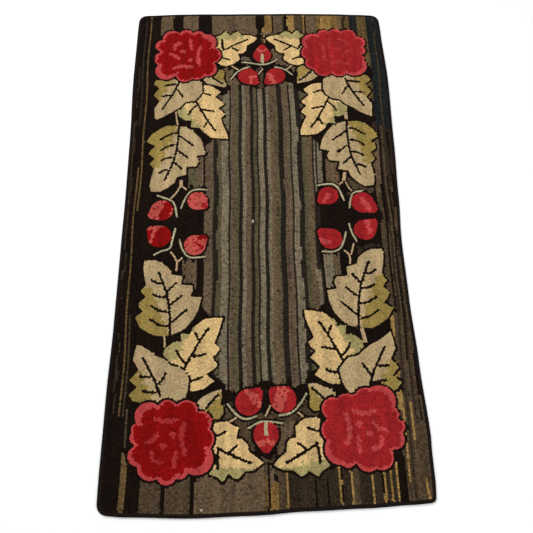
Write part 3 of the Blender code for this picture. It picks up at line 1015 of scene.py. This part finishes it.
def loop_corners(places):
    """Corners of the loops at these places, as arches of strip, in metres."""
    count = len(places)
    stations = np.array(LOOP_STATIONS)
    along = np.repeat(stations[:, 0], 3) * LOOP_LENGTH / 2
    across = np.tile((-1.0, 0.0, 1.0), len(stations)) * np.repeat(LOOP_TAPER, 3) * LOOP_WIDTH / 2
    rise = np.repeat(stations[:, 1], 3) * np.tile(LOOP_CROWN, len(stations))
    angle = places[:, 2] + rng.normal(0, STRAY["turn"], count)
    row = np.stack((np.cos(places[:, 2]), np.sin(places[:, 2])), 1)
    stray = rng.normal(0, STRAY["along"], (count, 1)) * row + rng.normal(0, STRAY["around"], (count, 2))
    centre = places[:, :2] * CM + DESIGN_MIDDLE + stray
    uneven = slow_noise(centre, 0.09, 11) * STRAY["swell"] + rng.normal(0, STRAY["height"], count)
    top = np.minimum(PILE_TOP - LOOP_UNEVEN + uneven, PILE_TOP + PROUD)
    wide = np.where(places[:, 3] == BLACK, DARK_WIDE, 1) + rng.normal(0, STRAY["width"], count)
    long_ = 1 + rng.normal(0, STRAY["length"], count)
    lean = rng.normal(0, STRAY["lean"], (count, 2))
    x = along[None] * long_[:, None] + lean[:, :1] * rise
    y = across[None] * wide[:, None] + lean[:, 1:] * rise
    return turned_about(centre, angle, x, y, LOOP_FOOT + rise[None] * (top - LOOP_FOOT)[:, None])


blooms_wool = wool_material("rose wool", 1500.0, 0.16)
leaves_wool = wool_material("leaf wool", 1300.0, 0.14)
ground_wool_material = wool_material("ground wool", 1200.0, 0.24)
PILE_WOOL = {"pile_blooms": blooms_wool, "pile_far_leaves": leaves_wool, "pile_near_leaves": leaves_wool}

corners_all = loop_corners(loops)
one_loop = [(k, k + 1, k + 4, k + 3) for k in (0, 1, 3, 4, 6, 7, 9, 10)]
loop_chart = np.stack((np.tile((0.0, 0.5, 1.0), 5), np.repeat(np.linspace(0, 1, 5), 3)), 1)
# painted shade of each loop's corners, along the loop and across it
painted_shades = np.outer(LOOP_PAINTED_SHADE, SIDE_PAINTED_SHADE).ravel()
for name in dict.fromkeys(sorted(set(pieces))):
    mine = pieces == name
    count = int(mine.sum())
    corners = corners_all[mine].reshape(-1, 3)
    material = PILE_WOOL.get(name, ground_wool_material)
    faces = repeated(one_loop, count, 15)
    make_piece(name, corners, faces, material, "hooked_panel",
                           with_painted_shade(loop_colours[mine], painted_shades), in_cells(loop_chart, count))

# The flat runs between holes, underneath: a low pad of wool under each loop.
count = len(loops)
angle = loops[:, 2] + rng.normal(0, 0.06, count)
centre = loops[:, :2] * CM + DESIGN_MIDDLE
pad = np.array([(-1, -1), (1, -1), (1, 1), (-1, 1), (0, 0)]) * (STITCH_LENGTH / 2, STITCH_WIDTH / 2)
lift = np.where(np.arange(5) == 4, STITCH_CLEAR, STITCH_CLEAR + STITCH_BULGE)
lift = lift + rng.normal(0, 0.00005, (count, 1))
pad_corners = turned_about(centre, angle, pad[:, 0], pad[:, 1], np.maximum(lift, 0.0)).reshape(-1, 3)
pad_faces = repeated([(1, 0, 4), (2, 1, 4), (3, 2, 4), (0, 3, 4)], count, 5)
pad_chart = np.array([(0, 0), (1, 0), (1, 1), (0, 1), (0.5, 0.5)])
# painted shade: each pad's rim, up against the burlap, darker than its low middle
pad_colours_with_painted_shade = with_painted_shade(loop_colours, (0.7, 0.7, 0.7, 0.7, 1.0))
make_piece("underside_runs", pad_corners, pad_faces, ground_wool_material,
                       "hooked_panel", pad_colours_with_painted_shade, in_cells(pad_chart, count))

# ---- the burlap

EDGE_EVEN, INNER_EVEN = even_edge(TAPE_STEP)
STATIONS = len(EDGE_EVEN)


def inset(distance):
    """The rug's edge moved inwards by a distance up to the binding's inner edge."""
    return EDGE_EVEN + (INNER_EVEN - EDGE_EVEN) * np.reshape(distance, (-1, 1)) / TAPE_UNDER


def loft(rings, name, material, node_name):
    """A surface through closed rings of corners, joined from the last back to the first."""
    faces = []
    step = np.arange(STATIONS)
    after = (step + 1) % STATIONS
    for k in range(len(rings)):
        here, there = k * STATIONS, (k + 1) % len(rings) * STATIONS
        faces.append(np.stack((here + step, here + after, there + after, there + step), 1))
    return make_piece(name, np.concatenate(rings), np.concatenate(faces), material, node_name)


BURLAP_INSETS = (0.0280, 0.0180, 0.0122, 0.0108, 0.0105, 0.0060, 0.0022)
BURLAP_TOPS = (BURLAP_TOP, BURLAP_TOP, 0.0030, 0.0042, 0.0050, 0.0053, 0.0053)
MIDDLE_SHARES = (1.0, 0.92, 0.84, 0.76, 0.68, 0.60, 0.52, 0.44, 0.36, 0.28, 0.20, 0.12, 0.05)
SPINE_HALF = 0.42


def towards_middle(share):
    """The binding's inner edge drawn in towards a line along the rug's middle."""
    spine = np.stack((np.zeros(STATIONS), np.clip(INNER_EVEN[:, 1], -SPINE_HALF, SPINE_HALF)), 1)
    return spine + (INNER_EVEN - spine) * share


def at_height(ring, height, ripple=BURLAP_RIPPLE):
    return np.column_stack((ring, height + ripple * slow_noise(ring, 0.12, 3)))


burlap_wool = woven_material("burlap weave", (0.40, 0.32, 0.21), (0.18, 0.135, 0.085), 0.0011, 1.5, 0.0)
rings = [at_height(towards_middle(share), BURLAP_BOTTOM + 0.0003) for share in reversed(MIDDLE_SHARES)]
rings += [at_height(inset(d), BURLAP_FOLD, 0.0) for d in (0.0220, 0.0120, 0.0022)]
rings += [at_height(inset(d), top, 0.0) for d, top in zip(reversed(BURLAP_INSETS), reversed(BURLAP_TOPS))]
rings += [at_height(towards_middle(share), BURLAP_TOP) for share in MIDDLE_SHARES[1:]]
burlap = loft(rings, "burlap_foundation", burlap_wool, "hooked_panel")

# ---- the edge binding

# Section of the folded tape: inwards from the edge, height. Underneath first, then round and on top.
TAPE_SECTION = [
    (0.0280, 0.0006), (0.0274, 0.0002), (0.0200, 0.0002), (0.0110, 0.0002), (0.0040, 0.0002),
    (0.0014, 0.0003), (0.0004, 0.0010), (0.0001, 0.0024), (0.0003, 0.0042), (0.0011, 0.0057),
    (0.0026, 0.0065), (0.0052, 0.0069), (0.0082, 0.0068), (0.0100, 0.0067), (0.0106, 0.0063),
    (0.0103, 0.0056), (0.0080, 0.0056), (0.0040, 0.0056), (0.0018, 0.0046), (0.0013, 0.0030),
    (0.0018, 0.0014), (0.0060, 0.0012), (0.0150, 0.0012), (0.0276, 0.0011),
]
tape_cotton = woven_material("binding twill", (0.115, 0.09, 0.075), (0.045, 0.035, 0.03), 0.0009, 0.6,
                             math.radians(45))
along = np.arange(STATIONS) * TAPE_STEP
wave = 0.5 * np.sin(along / 0.031 * 2) + 0.5 * np.sin(along / 0.0127 + 1.0) + rng.normal(0, 0.25, STATIONS)
rings = []
for inward, height in TAPE_SECTION:
    share = inward / TAPE_UNDER if height < 0.003 else inward / TAPE_FROM_EDGE
    drift = TAPE_WAVE * wave * min(share * 1.6, 1.0)
    lift = TAPE_LIFT * np.sin(along / 0.021 + inward * 300) * (height > 0.005)
    ring = inset(np.clip(inward + drift, 0.00005, TAPE_UNDER))
    rings.append(np.column_stack((ring, height + lift)))
binding = loft(rings, "edge_tape", tape_cotton, "edge_binding")


# a stitch's section along it: share of its half length, share of the thread's thickness
SEWING_SECTION = [(-1.0, 0.35), (-0.55, 1.0), (0.55, 1.0), (1.0, 0.35)]
SEWING_END = 0.0005        # how far the ends of a stitch go into the cloth
TURNS = math.pi / 4 + np.arange(4) * math.pi / 2


def sewing(name, inward, height, slant, into):
    """Short slanting stitches all round, each a thin bar whose pinched ends go up or down into the cloth."""
    places, angles = spaced(inset(np.full(STATIONS, inward)), SEWING_STEP, True)
    share, thick = np.repeat(SEWING_SECTION, 4, axis=0).T
    round_it = np.tile(TURNS, 4)
    turned = angles + slant + rng.normal(0, 0.12, len(angles))
    ends = np.where(abs(share) == 1, into * SEWING_END, 0)
    z = height + (thick * THREAD * np.sin(round_it) + ends)
    corners = turned_about(places, turned, share * SEWING_LENGTH / 2, thick * THREAD * np.cos(round_it),
                           np.broadcast_to(z, (len(places), 16)))
    sides = [(4 * k + t, 4 * k + (t + 1) % 4, 4 * k + 4 + (t + 1) % 4, 4 * k + 4 + t)
             for k in range(3) for t in range(4)]
    faces = repeated(sides + [(3, 2, 1, 0), (12, 13, 14, 15)], len(places), 16)
    return make_piece(name, corners.reshape(-1, 3), faces, sewing_thread, "edge_binding")


sewing_thread = woven_material("sewing thread", (0.20, 0.16, 0.13), (0.08, 0.06, 0.05), 0.0003, 0.5, 0.4)
hems = [
    sewing("hem_stitches_top", TAPE_FROM_EDGE - 0.0008, 0.0066, 0.9, -1),
    sewing("hem_stitches_under", TAPE_UNDER - 0.0008, 0.00045, -0.9, 1),
]

# ---- floor, light and camera

floor_mesh = bpy.data.meshes.new("floor")
square = np.array([(-1, -1), (1, -1), (1, 1), (-1, 1)]) * FLOOR_HALF
floor_mesh.from_pydata([(x, y, FLOOR_HEIGHT) for x, y in square], [], [(0, 1, 2, 3)])
floor_material = bpy.data.materials.new("pale floor")
floor_material.use_nodes = True
floor_surface = floor_material.node_tree.nodes["Principled BSDF"]
floor_surface.inputs["Base Color"].default_value = (0.95, 0.95, 0.95, 1.0)
floor_surface.inputs["Roughness"].default_value = 0.85
floor_mesh.materials.append(floor_material)
floor = bpy.data.objects.new("floor", floor_mesh)
bpy.context.scene.collection.objects.link(floor)

for name, at, size, power in LIGHTS:
    lamp = bpy.data.lights.new(name, "AREA")
    lamp.shape = "DISK"
    lamp.size = size
    lamp.energy = power
    light = bpy.data.objects.new(name, lamp)
    light.location = at
    light.rotation_euler = (LIGHT_AIM - Vector(at)).to_track_quat("-Z", "Y").to_euler()
    bpy.context.scene.collection.objects.link(light)

world = bpy.data.worlds.new("studio")
world.use_nodes = True
background = world.node_tree.nodes["Background"]
background.inputs["Color"].default_value = (1.0, 1.0, 1.0, 1.0)
background.inputs["Strength"].default_value = WORLD_LIGHT
bpy.context.scene.world = world
bpy.context.scene.view_settings.view_transform = "Standard"

camera_data = bpy.data.cameras.new("camera")
camera_data.lens = CAMERA_LENS
camera_data.sensor_width = 36.0
camera = bpy.data.objects.new("camera", camera_data)
camera.location = CAMERA_AT
camera.rotation_euler = (math.radians(90 - CAMERA_DOWN), 0, math.radians(CAMERA_YAW))
bpy.context.scene.collection.objects.link(camera)
bpy.context.scene.camera = camera

bpy.context.view_layer.update()
